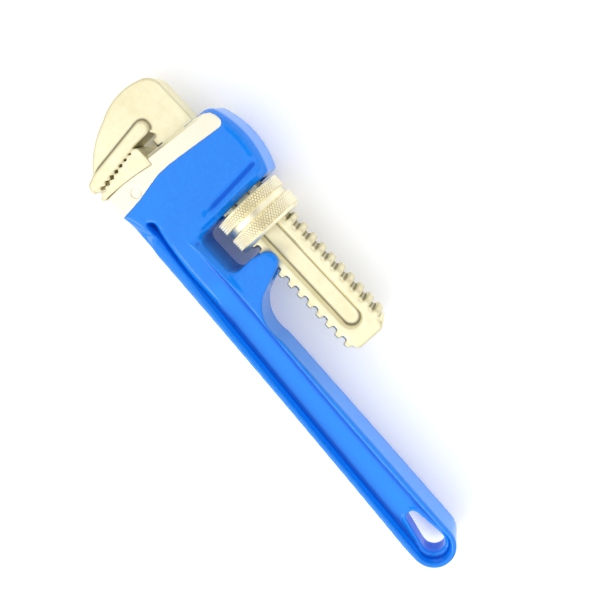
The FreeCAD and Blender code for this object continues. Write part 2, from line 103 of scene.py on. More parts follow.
# %% [markdown]
# ## Camera
# A 60 mm lens looks almost straight down on the broad side, a little from behind
# the hook, with the handle running to the lower right of the picture. The camera
# is placed by two of its own axes, the picture's right and up, because a tool
# lying flat has no upright direction for a track-to constraint to keep.


# %% Camera
def add_camera(place, right, up, lens):
    camera = bpy.data.objects.new("camera", bpy.data.cameras.new("camera"))
    right = right.normalized()
    back = right.cross(up).normalized()
    up = back.cross(right)
    turn = Matrix((right, up, back)).transposed().to_4x4()
    camera.matrix_world = Matrix.Translation(place) @ turn
    camera.data.lens = lens
    camera.data.sensor_width = 36.0
    camera.data.clip_start = 0.01
    scene.collection.objects.link(camera)
    scene.camera = camera
    return camera


add_camera(
    place=from_nut(-18.07, -85.64, 376.86),
    right=Vector((-0.68359, -0.71381, -0.15224)),
    up=Vector((0.72849, -0.65449, -0.20235)),
    lens=60.24,
)
print("camera:", [round(value, 3) for value in scene.camera.location])

# %% [markdown]
# ## Studio
# Plated steel only looks like metal when it has something to reflect, so the
# lights are large soft panels: a key over the mouth side, a broad one above, a weak
# fill, and a bright white world around them. A small black card hangs above the
# camera and stands for a real camera's dark body: without it the flat faces mirror
# nothing but white and lose their colour. The floor is plain and pale.

# %% Floor, world and lights
WHITE = (1.0, 1.0, 1.0)
FLOOR_SIDE = 4.0
CARD_PLACE, CARD_SIDE = Vector((0.045, -0.06, 0.62)), 0.26
WORLD_STRENGTH = 1.03


def add_sheet(name, centre, side):
    """A level square, for the floor and for the card above the camera."""
    mesh = bpy.data.meshes.new(name)
    half = side / 2
    ring = [(-half, -half), (half, -half), (half, half), (-half, half)]
    corners = [centre + Vector((x, y, 0.0)) for x, y in ring]
    mesh.from_pydata(corners, [], [(0, 1, 2, 3)])
    sheet = bpy.data.objects.new(name, mesh)
    scene.collection.objects.link(sheet)
    return sheet


def add_panel(name, place, aim, size, power):
    """A soft rectangular light at place, turned towards aim."""
    light = bpy.data.objects.new(name, bpy.data.lights.new(name, "AREA"))
    light.data.shape = "RECTANGLE"
    light.data.size, light.data.size_y = size
    light.data.energy = power
    light.location = place
    light.rotation_euler = (aim - place).to_track_quat("-Z", "Y").to_euler()
    scene.collection.objects.link(light)
    return light


floor = add_sheet("floor", Vector((0.0, 0.0, 0.0)), FLOOR_SIDE)
card = add_sheet("dark_card", CARD_PLACE, CARD_SIDE)
middle = Vector((0.0, 0.0, 0.015))
add_panel("key_panel", Vector((-0.10, 0.55, 0.50)), middle, (0.5, 0.3), 1.5)
add_panel("top_panel", Vector((-0.04, 0.25, 0.97)), middle, (1.2, 1.2), 1.4)
add_panel("fill_panel", Vector((-0.45, -0.35, 0.35)), middle, (0.4, 0.4), 0.2)
world = bpy.data.worlds.new("studio")
scene.world = world
world.use_nodes = True
world.node_tree.nodes["Background"].inputs["Color"].default_value = (*WHITE, 1.0)
world.node_tree.nodes["Background"].inputs["Strength"].default_value = WORLD_STRENGTH
scene.view_settings.view_transform = "Standard"
scene.view_settings.look = "None"

# %% [markdown]
# ## A small language for finishes
# A node tree is easier to read as arithmetic. `Wire` holds one output socket;
# plus, minus and times on it add Math nodes, and `node` adds any other node from
# its type, its settings and what its sockets get. A Math node turns a colour grey,
# so colours go through `mix`.


# %% Wire: shader arithmetic
class Wire:
    """One output socket of a material's node tree."""

    def __init__(self, tree, socket=None):
        self.tree = tree
        self.socket = socket

    def node(self, kind, settings=None, inputs=None, output=0):
        """Any node: its settings first, then what its sockets get."""
        added = self.tree.nodes.new(kind)
        for name, value in (settings or {}).items():
            setattr(added, name, value)
        for name, value in (inputs or {}).items():
            if isinstance(value, Wire):
                self.tree.links.new(value.socket, added.inputs[name])
            else:
                added.inputs[name].default_value = value
        return Wire(self.tree, added.outputs[output])

    def maths(self, operation, *values):
        return self.node("ShaderNodeMath", {"operation": operation}, dict(enumerate(values)))

    def __add__(self, other):
        return self.maths("ADD", self, other)

    __radd__ = __add__

    def __sub__(self, other):
        return self.maths("SUBTRACT", self, other)

    def __rsub__(self, other):
        return self.maths("SUBTRACT", other, self)

    def __mul__(self, other):
        return self.maths("MULTIPLY", self, other)

    __rmul__ = __mul__

    def step(self, low, high):
        """0 below low, 1 above high, smooth between; low may be above high."""
        settings = {"interpolation_type": "SMOOTHSTEP"}
        limits = {"Value": self, "From Min": low, "From Max": high}
        return self.node("ShaderNodeMapRange", settings, limits)

    def noise(self, place, scale, detail=3.0, roughness=0.55):
        """Cloudy noise, scale features to the millimetre."""
        inputs = {"Vector": place, "Scale": scale, "Detail": detail, "Roughness": roughness}
        return self.node("ShaderNodeTexNoise", None, inputs)

    def stored(self, name):
        """A number that the mesh carries on its points; 0 where it has none."""
        return self.node("ShaderNodeAttribute", {"attribute_name": name}, output="Fac")

    def mix(self, share, first, second):
        """A colour between two colours: the first at 0, the second at 1."""
        ends = [(*end, 1.0) if isinstance(end, tuple) else end for end in (first, second)]
        settings = {"data_type": "RGBA"}
        return self.node("ShaderNodeMix", settings, {0: share, 6: ends[0], 7: ends[1]}, 2)


print("Wire has", [name for name in vars(Wire) if not name.startswith("__")])

# %% [markdown]
# Every finish starts the same way: a Principled shader, and a place on the object
# in millimetres. All the pieces sit at the frame's origin, so Object coordinates
# are frame coordinates, and a pattern is the same size on every piece.


# %% Starting a finish
def new_finish(name, uniform):
    """A material, its arithmetic, its place in mm and its Principled shader."""
    material = bpy.data.materials.new(name)
    material.use_nodes = True
    tree = material.node_tree
    shader = tree.nodes["Principled BSDF"]
    for socket, value in uniform.items():
        shader.inputs[socket].default_value = value
    wires = Wire(tree)
    place = wires.node("ShaderNodeTexCoord", output="Object")
    settings = {"operation": "SCALE"}
    place = wires.node("ShaderNodeVectorMath", settings, {"Vector": place, "Scale": 1 / MM})
    return material, wires, place, shader


def connect(wires, shader, **values):
    """Link wires to the shader's sockets; an underscore stands for a space."""
    for name, wire in values.items():
        wires.tree.links.new(wire.socket, shader.inputs[name.replace("_", " ")])


def bump(wires, height):
    """A normal from a height in millimetres."""
    return wires.node("ShaderNodeBump", None, {"Height": height, "Distance": MM})


def stretched(wires, place, scale, turn=0.0):
    """The place squeezed along its axes, so that a noise becomes a grain."""
    inputs = {"Vector": place, "Scale": scale, "Rotation": (0.0, 0.0, turn)}
    return wires.node("ShaderNodeMapping", None, inputs)


# %% [markdown]
# ## Finishes
# ### Enamel over a casting, ground bare across the housing
# The casting is sprayed with thick gloss enamel: a coloured coat under a clear
# shine, with a faint orange peel and the casting's slow unevenness under it. The
# broad faces of the housing are then ground, which cuts through the paint along
# one clean edge. Both are one material on one casting, so a mask chooses between
# them. The mask is a signed distance in millimetres, stored on the mesh's points:
# a distance keeps its edge sharp between points, which a painted mask doesn't.
# A second stored number says how hollow the surface is. Fillets and grooves get
# painted shade: a darker coat with less shine, which draws the casting's lines even
# in soft light. The web at the bottom of each hollow side gets painted light, a
# brighter coat. Real enamel doesn't do that: it makes up for the little light that
# reaches down there.

# %% Enamel and ground strip
GROUND_DARK, GROUND_LIGHT = (0.83, 0.78, 0.60), (0.95, 0.93, 0.80)
PAINT_THIN, PAINT_THICK = (0.001, 0.225, 0.860), (0.000, 0.170, 0.720)
PAINT_MOTTLE, PAINT_LIP = (0.004, 0.260, 0.920), (0.000, 0.100, 0.480)
PAINTED_WEB_LIGHT, PAINTED_HOLLOW_SHADE = (0.002, 0.300, 1.000), (0.000, 0.080, 0.560)
PAINT_SPECK = (0.000, 0.060, 0.300)


def enamel_finish():
    uniform = {"Coat Roughness": 0.08, "Specular IOR Level": 0.1}
    material, wires, place, shader = new_finish("blue_enamel", uniform)
    ragged = wires.stored("bare") + (wires.noise(place, 1.6, 4.0) - 0.5) * 0.35
    bare = ragged.step(-0.06, 0.06)
    lip = ragged.step(-0.55, -0.1) * (1 - bare)

    slow = wires.noise(place, 0.045, 3.0)
    mottled = wires.noise(place, 0.6, 4.0)
    paint = wires.mix(slow, PAINT_THICK, PAINT_THIN)
    paint = wires.mix(mottled.step(0.35, 0.75) * 0.3, paint, PAINT_MOTTLE)
    paint = wires.mix(lip * 0.25, paint, PAINT_LIP)
    # painted light: the paint is brighter where it lies less than 9 mm from the middle plane, down in the hollow
    # sides
    height = wires.node("ShaderNodeSeparateXYZ", None, {"Vector": place}, "Z")
    level = wires.maths("ABSOLUTE", height - nut_centre.z / MM)
    paint = wires.mix(level.step(9.0, 6.0) * 0.6, paint, PAINTED_WEB_LIGHT)
    # painted shade: hollow fillets and grooves get a darker paint colour
    deep = wires.stored("hollow").step(0.06, 0.36) * 0.85
    paint = wires.mix(deep, paint, PAINTED_HOLLOW_SHADE)
    specks = wires.noise(place, 2.4, 2.0).step(0.76, 0.80) * 0.25
    paint = wires.mix(specks, paint, PAINT_SPECK)

    streaks = wires.noise(stretched(wires, place, (0.25, 4.0, 1.0), 0.15), 1.6, 5.0)
    metal = wires.mix(streaks, GROUND_DARK, GROUND_LIGHT)
    connect(wires, shader, Base_Color=wires.mix(bare, paint, metal), Metallic=bare)
    smooth = 0.35 + mottled * 0.10
    rough = 0.34 + streaks * 0.16
    connect(wires, shader, Roughness=smooth * (1 - bare) + rough * bare)
    # painted shade: the clear coat's shine is cut down in hollows
    connect(wires, shader, Coat_Weight=(1 - bare) * (1 - deep) * 0.7)
    peel = wires.noise(place, 0.9, 2.0, 0.4) * 0.045 + slow * 0.5
    grind = streaks * 0.03
    height = peel * (1 - bare) + grind * bare - bare * 0.12
    connect(wires, shader, Normal=bump(wires, height))
    return material


enamel = enamel_finish()
print("enamel:", len(enamel.node_tree.nodes), "nodes")

# %% [markdown]
# ### Plated forgings
# The hook and heel jaws are forged, belt-ground and nickel plated: a warm bright
# metal with fine scratches along the grinding direction, and a slow waviness left
# by the forging under the plate. The same stored hollowness puts brown in corners
# and tooth roots, partly grime and partly painted shade, and makes the edges a
# little darker, a painted dark reflection of their rounding. The nut has the same
# plate, with its knurl's grooves marked as hollows.

# %% Nickel plate
JAW_DARK, JAW_LIGHT = (0.80, 0.73, 0.47), (0.93, 0.89, 0.66)
NUT_DARK, NUT_LIGHT = (0.88, 0.81, 0.58), (0.98, 0.93, 0.73)
EDGE_DARK_REFLECTION, GRIME_AND_SHADE_BROWN = (0.42, 0.35, 0.18), (0.06, 0.042, 0.022)


def plate_finish(name, dark, light, rough, wave, grain_turn):
    """wave is the height of the slow waviness in mm, grain_turn the scratches' angle."""
    material, wires, place, shader = new_finish(name, {"Metallic": 1.0})
    slow = wires.noise(place, 0.05, 3.0)
    grain = wires.noise(stretched(wires, place, (0.35, 5.0, 1.5), grain_turn), 1.4, 6.0)
    cloudy = wires.noise(place, 0.35, 4.0)
    tone = slow * 0.45 + cloudy * 0.35 + grain * 0.2
    colour = wires.mix(tone.step(0.25, 0.75), dark, light)
    pits = wires.noise(place, 3.1, 2.0).step(0.72, 0.78)
    colour = wires.mix(pits * 0.35, colour, tuple(value * 0.45 for value in dark))
    hollow = wires.stored("hollow")
    # painted dark reflection: convex rounded edges get a darker brown
    colour = wires.mix(hollow.step(-0.12, -0.34) * 0.35, colour, EDGE_DARK_REFLECTION)
    # brown in hollows: partly grime, partly painted shade
    grime_and_shade = hollow.step(0.07, 0.32) * 0.72
    colour = wires.mix(grime_and_shade, colour, GRIME_AND_SHADE_BROWN)
    roughness = rough + grain * 0.12 + cloudy * 0.08 + grime_and_shade * 0.25
    connect(wires, shader, Base_Color=colour, Roughness=roughness)
    height = slow * wave + grain * 0.018 - pits * 0.03 + cloudy * 0.02
    connect(wires, shader, Normal=bump(wires, height))
    return material


ground_plate = plate_finish("ground_plate", GROUND_DARK, GROUND_LIGHT, 0.36, 0.0, 0.15)
jaw_plate = plate_finish("jaw_plate", JAW_DARK, JAW_LIGHT, 0.37, 0.35, 0.1)
nut_plate = plate_finish("nut_plate", NUT_DARK, NUT_LIGHT, 0.26, 0.05, 0.0)
print("plates:", [plate.name for plate in (ground_plate, jaw_plate, nut_plate)])

# %% [markdown]
# ### Spring steel
# Springs are left dark and oiled, with the drawing marks of their wire or strip.


# %% Spring steel
def spring_finish():
    material, wires, place, shader = new_finish("spring_steel", {"Metallic": 1.0})
    marks = wires.noise(stretched(wires, place, (0.5, 6.0, 6.0)), 1.2, 4.0)
    heat = wires.noise(place, 0.2, 2.0)
    colour = wires.mix(heat, (0.16, 0.17, 0.20), (0.34, 0.32, 0.30))
    connect(wires, shader, Base_Color=colour, Roughness=0.28 + marks * 0.2)
    connect(wires, shader, Normal=bump(wires, marks * 0.02))
    return material


spring_steel = spring_finish()
print("springs:", spring_steel.name)

# %% [markdown]
# ### The floor and the card
# The floor is pale and rough. It also glows a little, which keeps the wrench's
# shadow pale, as on a light table. A light table would shine up through the nut
# window and the jaws' throat too. Both should look deep and dark, so the glow fades
# to nothing under them: that is a stage trick, and real light doesn't do it.

# %% Floor and card
BLACK = (0.0, 0.0, 0.0)
CARD_BLACK = (0.01, 0.01, 0.01, 1.0)
OPENINGS = {"nut window": (-1.0, 19.0), "throat": (43.0, 19.0)}
GLOW = 0.17


def floor_finish():
    uniform = {"Roughness": 0.6, "Emission Strength": GLOW}
    material, wires, place, shader = new_finish("pale_floor", uniform)
    soft = wires.noise(place, 0.01, 2.0)
    connect(wires, shader, Base_Color=wires.mix(soft, (0.90, 0.90, 0.91), (0.93, 0.93, 0.93)))
    away = []
    for x, y in OPENINGS.values():
        spot = from_nut(x, y, 0.0) / MM
        inputs = {0: place, 1: (spot.x, spot.y, 0.0)}
        settings = {"operation": "DISTANCE"}
        away.append(wires.node("ShaderNodeVectorMath", settings, inputs, "Value"))
    glow = wires.maths("MINIMUM", *away).step(8.0, 15.0)
    connect(wires, shader, Emission_Color=wires.mix(glow, BLACK, WHITE))
    return material


floor.data.materials.append(floor_finish())
card.data.materials.append(new_finish("card_black", {"Base Color": CARD_BLACK})[0])
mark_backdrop(floor, card)
print("no glow under:", list(OPENINGS))

# %% [markdown]
# ## Working with meshes
# Castings and forgings have no sharp corners. The engineering mesh has, so each
# such piece is copied and rebuilt as an even skin of small squares. A voxel remesh
# alone leaves its long edges wavy, so a Shrinkwrap lays the skin back on the
# engineering surface.


# %% Copies and skins
def new_object(name, mesh):
    made = bpy.data.objects.new(name, mesh)
    scene.collection.objects.link(made)
    return made


def cad_copy(node, name):
    """A welded copy of a node's engineering mesh."""
    mesh = frame["nodes"][node].data.copy()
    mesh.materials.clear()
    mesh.attributes.remove(mesh.attributes["custom_normal"])
    weld = bmesh.new()
    weld.from_mesh(mesh)
    bmesh.ops.remove_doubles(weld, verts=weld.verts, dist=0.001 * MM)
    weld.to_mesh(mesh)
    weld.free()
    return new_object(name, mesh)


def settle(obj):
    """Turns obj's modifiers into plain mesh."""
    graph = bpy.context.evaluated_depsgraph_get()
    mesh = bpy.data.meshes.new_from_object(obj.evaluated_get(graph))
    obj.modifiers.clear()
    obj.data = mesh


def skin(obj, size, node):
    """Rebuilds obj as squares of that size, then lays them back on the node's surface."""
    remesh = obj.modifiers.new("skin", "REMESH")
    remesh.mode = "VOXEL"
    remesh.voxel_size = size * MM
    wrap = obj.modifiers.new("lay back", "SHRINKWRAP")
    wrap.target = frame["nodes"][node]
    settle(obj)


def thin_out(obj, most):
    """Merges points where the surface is flat, until at most that many triangles."""
    triangles = sum(len(face.vertices) - 2 for face in obj.data.polygons)
    if triangles > most:
        decimate = obj.modifiers.new("thin out", "DECIMATE")
        decimate.ratio = most / triangles
        settle(obj)


print("engineering triangles:", sum(len(node.data.polygons) for node in frame["nodes"].values()))

# %% [markdown]
# ### Relaxing
# The skin is then relaxed: every point moves towards the mean of its neighbours,
# more on the cast faces and less on the ground ones. That rounds each edge the way
# the real process does. How far a point would move in a long relaxing also tells
# how hollow the surface is there, which the finishes use.


# %% Relaxing and hollowness
def read_points(obj):
    """Its points, in mm from the nut's centre."""
    points = np.empty(len(obj.data.vertices) * 3, np.float32)
    obj.data.vertices.foreach_get("co", points)
    return to_nut(points.reshape(-1, 3).astype(float))


def write_points(obj, points):
    metres = points * MM + np.array(nut_centre)
    obj.data.vertices.foreach_set("co", metres.astype(np.float32).ravel())
    obj.data.update()


def relax(obj, rounds, share):
    """Moves points towards their neighbours' mean; share is one number or one each."""
    edges = np.empty(len(obj.data.edges) * 2, np.int32)
    obj.data.edges.foreach_get("vertices", edges)
    first, second = edges.reshape(-1, 2).T
    ends = np.concatenate((first, second))
    others = np.concatenate((second, first))
    points = read_points(obj)
    count = np.bincount(ends, minlength=len(points))
    share = np.broadcast_to(share, len(points))
    for _ in range(rounds):
        sums = [np.bincount(ends, points[others, axis], len(points)) for axis in range(3)]
        mean = np.stack(sums, axis=1) / count[:, None]
        points += (mean - points) * share[:, None]
    write_points(obj, points)


def hollowness(obj):
    """How far each point would move outwards if the surface were relaxed a long way:
    positive in hollows, negative on edges, in mm."""
    before = read_points(obj)
    normals = np.empty(before.size, np.float32)
    obj.data.vertices.foreach_get("normal", normals)
    relax(obj, 40, 0.8)
    moved = read_points(obj) - before
    write_points(obj, before)
    return (moved * normals.reshape(-1, 3)).sum(axis=1)


def store(obj, name, values):
    """Keeps a number for each point on the mesh, for the finish to read."""
    stored = obj.data.attributes.new(name, "FLOAT", "POINT")
    stored.data.foreach_set("value", values.astype(np.float32))
    print(f"{obj.name} {name}: {values.min():.2f} to {values.max():.2f} mm")


def smooth_step(value, low, high):
    """0 below low, 1 above high, smooth between."""
    share = np.clip((value - low) / (high - low), 0, 1)
    return share * share * (3 - 2 * share)


print("half way up a smooth step:", smooth_step(0.5, 0.0, 1.0))

# %% [markdown]
# ### Dressing a piece
# Every piece ends the same way: it gets its finish, the engineering nodes it
# replaces are hidden, and it is parented to the moving body it rides on.


# %% Dressing and shading
def dress(obj, material, slot, body, *nodes):
    """Gives a finished piece its finish, its body and the nodes it replaces; slot is not used."""
    obj.data.materials.clear()
    obj.data.materials.append(material)
    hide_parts(*nodes)
    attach(obj, body)
    triangles = sum(len(face.vertices) - 2 for face in obj.data.polygons)
    print(f"{obj.name}: {triangles} triangles, replaces {', '.join(nodes)}")


def shade(obj, angle=180.0):
    """Smooth shading, but a crisp edge wherever the surface turns more than angle."""
    obj.data.polygons.foreach_set("use_smooth", [True] * len(obj.data.polygons))
    if angle < 180.0:
        obj.data.set_sharp_from_angle(angle=math.radians(angle))


# %% [markdown]
# ## The handle casting
# One iron casting: handle, nut window, horn and housing. The housing's broad faces
# are ground flat across the mouth end, through the paint. The ground strip is drawn
# as one outline, and the mask is every point's distance inside it. Anything that
# lies deeper than the ground faces keeps its paint.

# %% Where the casting is ground
STRIP_OUTLINE = [
    (33.2, 42.0), (33.4, 34.0), (33.8, 27.0), (34.9, 20.5), (35.6, 15.4), (35.4, 9.5),
    (34.6, 4.0), (33.3, -4.5), (32.1, -12.5), (31.9, -14.6), (32.3, -15.6), (33.2, -16.3),
    (34.4, -16.4), (36.3, -16.1), (38.2, -15.2), (39.9, -12.6), (41.0, -9.0), (41.3, -4.0),
    (60.0, -4.0), (60.0, 60.0), (33.2, 60.0),
]
GROUND_FLAT = 7.0


def distance_inside(points, outline):
    """How far each point is inside a closed outline in the XY plane; negative outside."""
    x, y = points[:, 0], points[:, 1]
    nearest = np.full(len(points), np.inf)
    inside = np.zeros(len(points), bool)
    for (ax, ay), (bx, by) in zip(outline, outline[1:] + outline[:1]):
        dx, dy = bx - ax, by - ay
        along = np.clip(((x - ax) * dx + (y - ay) * dy) / (dx * dx + dy * dy), 0, 1)
        nearest = np.minimum(nearest, np.hypot(x - ax - along * dx, y - ay - along * dy))
        if ay != by:
            crosses = (ay > y) != (by > y)
            inside ^= crosses & (x < ax + (y - ay) * dx / dy)
    return np.where(inside, nearest, -nearest)


def bare_distance(points):
    """Distance into the bare metal: inside the strip's outline, on the ground flats only."""
    flat = np.abs(points[:, 2]) - GROUND_FLAT
    return np.minimum(distance_inside(points, STRIP_OUTLINE), flat)


print("strip outline:", len(STRIP_OUTLINE), "points")

# %% [markdown]
# ### Small shapes of the casting
# The casting has shapes that the engineering model leaves out: a shallow groove and
# a bead along the nut window, and a web that climbs out of the hollow side to meet
# the housing's face, leaving a narrow channel beside the front wall. Each is a rule
# on the distance to a line, so it can be added to the points of the skin.


# %% Groove, bead and web
def near_line(points, start, end):
    """Distance in the XY plane from a line between two places."""
    start, end = np.array(start), np.array(end)
    run = end - start
    offset = points[:, :2] - start
    along = np.clip(offset @ run / (run @ run), 0, 1)
    return np.hypot(*(offset - along[:, None] * run).T)


def ridge(distance, half_width):
    """1 on the line, falling smoothly to 0 at half_width."""
    return 1 - smooth_step(distance, 0, half_width)


WINDOW_GROOVE, GROOVE_HALF_WIDTH, GROOVE_DEPTH = ((12.6, 15.0), (13.8, -14.5)), 2.1, 1.5
WINDOW_BEAD, BEAD_HALF_WIDTH, BEAD_HEIGHT = ((9.6, 17.5), (9.6, -13.5)), 1.5, 0.7
FRONT_WALL = [(26.0, 32.6), (16.0, 34.6), (0.0, 36.9), (-20.0, 38.6)]
WEB_TOP = 11.9


def cast_lift(points):
    """How far each point stands away from the casting's middle plane, in mm more
    than on the engineering model: the groove, the bead and the climbing web."""
    x, y, z = points.T
    level = np.abs(z)
    groove = ridge(near_line(points, *WINDOW_GROOVE), GROOVE_HALF_WIDTH)
    groove *= 1 - smooth_step(y, 6.0, 15.0)
    bead = ridge(near_line(points, *WINDOW_BEAD), BEAD_HALF_WIDTH)
    outer = smooth_step(level, 9.0, 10.5)
    beside = np.interp(x, *np.array(FRONT_WALL[::-1]).T) - y
    climb = smooth_step(x, -26.0, 13.0) * smooth_step(beside, 0.6, 4.2)
    clear = y > np.where(x > 8.0, 18.4, 23.4)
    web = clear & (beside > 0.3) & (x > -28.0) & (x < 30.0) & (level > 3.0) & (level < 11.7)
    lift = (BEAD_HEIGHT * bead - GROOVE_DEPTH * groove) * outer
    return np.where(web, (WEB_TOP - level) * climb, lift)


print("groove deep, bead high, web top, mm:", GROOVE_DEPTH, BEAD_HEIGHT, WEB_TOP)

# %% [markdown]
# ### Casting the handle
# The skin is raised and lowered by the pattern's details and then relaxed: the
# painted faces fully, the ground strip hardly at all. The shoulder, where the front
# wall runs into the housing, blends softly, so it gets a second, longer relaxing of
# its own. Last, flat areas are thinned out to keep the mesh light.

# %% Handle
SHOULDER_LINE, SHOULDER_REACH = ((31.0, 39.0), (19.0, 36.5)), 6.5
handle = cad_copy("handle", "handle_casting")
skin(handle, 0.40, "handle")
points = read_points(handle)
lift = cast_lift(points)
print("details, lowest and highest, mm:", round(lift.min(), 2), round(lift.max(), 2))
points[:, 2] += np.sign(points[:, 2]) * lift
write_points(handle, points)
cast = 1 - smooth_step(distance_inside(points, STRIP_OUTLINE), -1.2, 0.2)
relax(handle, 18, 0.01 + 0.57 * cast)
shoulder = ridge(near_line(points, *SHOULDER_LINE), SHOULDER_REACH)
relax(handle, 50, 0.6 * shoulder * cast)
store(handle, "bare", bare_distance(read_points(handle)))
store(handle, "hollow", hollowness(handle))
thin_out(handle, 190000)
shade(handle)
dress(handle, enamel, "blue_enamel", "frame", "handle")

# %% [markdown]
# ## The jaws
# Both jaws are forged and plated. Their teeth are broached, so they keep crisp
# crests; the rest is only slightly broken at the edges. They need a finer skin than
# the casting and only a few rounds of relaxing.

# %% Hook jaw and heel jaw
hook = cad_copy("hook_jaw", "hook_jaw_forging")
skin(hook, 0.30, "hook_jaw")
relax(hook, 5, 0.4)
store(hook, "hollow", hollowness(hook))
thin_out(hook, 180000)
shade(hook)
dress(hook, jaw_plate, "nickel_plate", "hook", "hook_jaw")

heel = cad_copy("heel_jaw", "heel_jaw_insert")
skin(heel, 0.25, "heel_jaw")
relax(heel, 3, 0.3)
store(heel, "hollow", hollowness(heel))
shade(heel)
dress(heel, jaw_plate, "nickel_plate", "frame", "heel_jaw")

# %% [markdown]
# ## Turned pieces
# The pin, the rivet and the nut come off a lathe, so one helper turns an outline
# about an axis. The outline is a list of (along, radius) pairs.


# %% A lathe
def turned_mesh(name, outline, columns, place):
    """Rings of points for each (along, radius) pair; radius 0 closes an end.
    place puts a ring's (along, across, across) numbers, in mm, into the frame."""
    mesh = bmesh.new()
    rings = []
    for along, radius in outline:
        count = columns if radius > 0 else 1
        angles = [math.tau * column / columns for column in range(count)]
        ring = [(along, radius * math.sin(angle), radius * math.cos(angle)) for angle in angles]
        rings.append([mesh.verts.new(place(*point)) for point in ring])
    for lower, upper in zip(rings, rings[1:]):
        for column in range(columns):
            corners = [
                lower[column % len(lower)],
                lower[(column + 1) % len(lower)],
                upper[(column + 1) % len(upper)],
                upper[column % len(upper)],
            ]
            mesh.faces.new(list(dict.fromkeys(corners)))
    bmesh.ops.recalc_face_normals(mesh, faces=mesh.faces)
    data = bpy.data.meshes.new(name)
    mesh.to_mesh(data)
    mesh.free()
    return data


def middle_of(node):
    low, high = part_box(node)
    return (low + high) / 2, (high - low) / 2


centre, half = middle_of("heel_jaw_pin")
length, radius = half.z / MM, half.x / MM
BROKEN_EDGE = 0.1
PIN_OUTLINE = [
    (-length, 0.0),
    (-length, radius - BROKEN_EDGE),
    (-length + BROKEN_EDGE, radius),
    (length - BROKEN_EDGE, radius),
    (length, radius - BROKEN_EDGE),
    (length, 0.0),
]


def on_pin(along, across, up):
    return centre + Vector((across, up, along)) * MM


pin = new_object("heel_jaw_pin_turned", turned_mesh("pin", PIN_OUTLINE, 48, on_pin))
shade(pin, 30)
dress(pin, ground_plate, "nickel_plate", "frame", "heel_jaw_pin")

# %% [markdown]
# ## The adjusting nut
# The nut is turned from bar, threaded, and knurled in two bands with a smooth
# waist between them. Its thread must lie in the shank's notches, so the phase of
# the ridge is measured on the engineering mesh instead of typed in. The threaded
# bore is a grid of points whose rows climb one pitch in each turn; rows that climb
# past an end are held at it and merge there.

# %% Threaded bore
NUT_COLUMNS = 76
PITCH = math.tau / abs(frame["record"]["behaviour"]["couplings"][0]["ratio"]) / MM
BORE, RIDGE, RUN_OUT = 10.95, 9.15, 0.8
RIDGE_ROWS = [(-1.2625, 0.0), (-0.8125, 1.0), (0.8125, 1.0), (1.2625, 0.0), (2.64, 0.0)]


def ridge_phase():
    """Where the nut's ridge starts, in turns, measured on the engineering mesh."""
    points = to_nut(np.array([point.co for point in frame["nodes"]["adjusting_nut"].data.vertices]))
    radius = np.hypot(points[:, 1], points[:, 2])
    x, y, z = points[radius < RIDGE + 0.1].T
    turns = x / PITCH + np.arctan2(y, z) / math.tau
    return float(np.angle(np.exp(1j * math.tau * turns).mean()) / math.tau)


def ring_point(along, radius, column):
    angle = -math.tau * column / NUT_COLUMNS
    return from_nut(along, radius * math.sin(angle), radius * math.cos(angle))


def threaded_bore(mesh, low, high, phase):
    """The bore with its helical ridge, which fades over RUN_OUT at both ends."""
    rows_per_turn = len(RIDGE_ROWS)
    first_turn = math.floor(low / PITCH - phase) - 2
    turns = math.ceil((high - low) / PITCH) + 4
    grid = []
    for row in range(rows_per_turn * (turns + 1)):
        offset, rise = RIDGE_ROWS[row % rows_per_turn]
        start = PITCH * (phase + first_turn + row // rows_per_turn) + offset
        line = []
        for column in range(NUT_COLUMNS):
            along = min(max(start + PITCH * column / NUT_COLUMNS, low), high)
            fade = min(1.0, (along - low) / RUN_OUT, (high - along) / RUN_OUT)
            radius = BORE + (RIDGE - BORE) * rise * fade
            line.append(mesh.verts.new(ring_point(along, radius, column)))
        grid.append(line)
    for row in range(rows_per_turn * turns):
        for column in range(NUT_COLUMNS):
            climbed = row + rows_per_turn if column == NUT_COLUMNS - 1 else row
            if climbed + 1 >= len(grid):
                continue
            following = (column + 1) % NUT_COLUMNS
            corners = (
                grid[row][column],
                grid[row + 1][column],
                grid[climbed + 1][following],
                grid[climbed][following],
            )
            mesh.faces.new(corners)


print("pitch, mm:", round(PITCH, 3), "ridge starts at turn", round(ridge_phase(), 3))

# %% [markdown]
# ### The nut's outside
# Plain rings of points make the ends and the waist. A knurled band is a net of
# diamonds, made by turning every second ring half a diamond. All the rings have the
# same number of points as the bore, so they can be merged into one closed blank.

# %% Rings and knurled bands
KNURL_DEPTH = 0.42
# hollowness given to the knurl's grooves, which the plate paints as grime and painted shade
GRIME_AND_SHADE_HOLLOW = 0.18
NUT_LOW, NUT_HIGH, NUT_RADIUS = -8.0, 6.5, 14.7
GROOVE = NUT_RADIUS - KNURL_DEPTH


def plain_rings(mesh, outline, last_turn=0.0):
    """Smooth rings; the last is turned by that share of a column, to meet a band."""
    rings = []
    for index, (along, radius) in enumerate(outline):
        turn = last_turn * index / (len(outline) - 1)
        columns = range(NUT_COLUMNS)
        points = [ring_point(along, radius, column + turn) for column in columns]
        rings.append([mesh.verts.new(point) for point in points])
    for lower, upper in zip(rings, rings[1:]):
        for column in range(NUT_COLUMNS):
            following = (column + 1) % NUT_COLUMNS
            mesh.faces.new((lower[column], lower[following], upper[following], upper[column]))


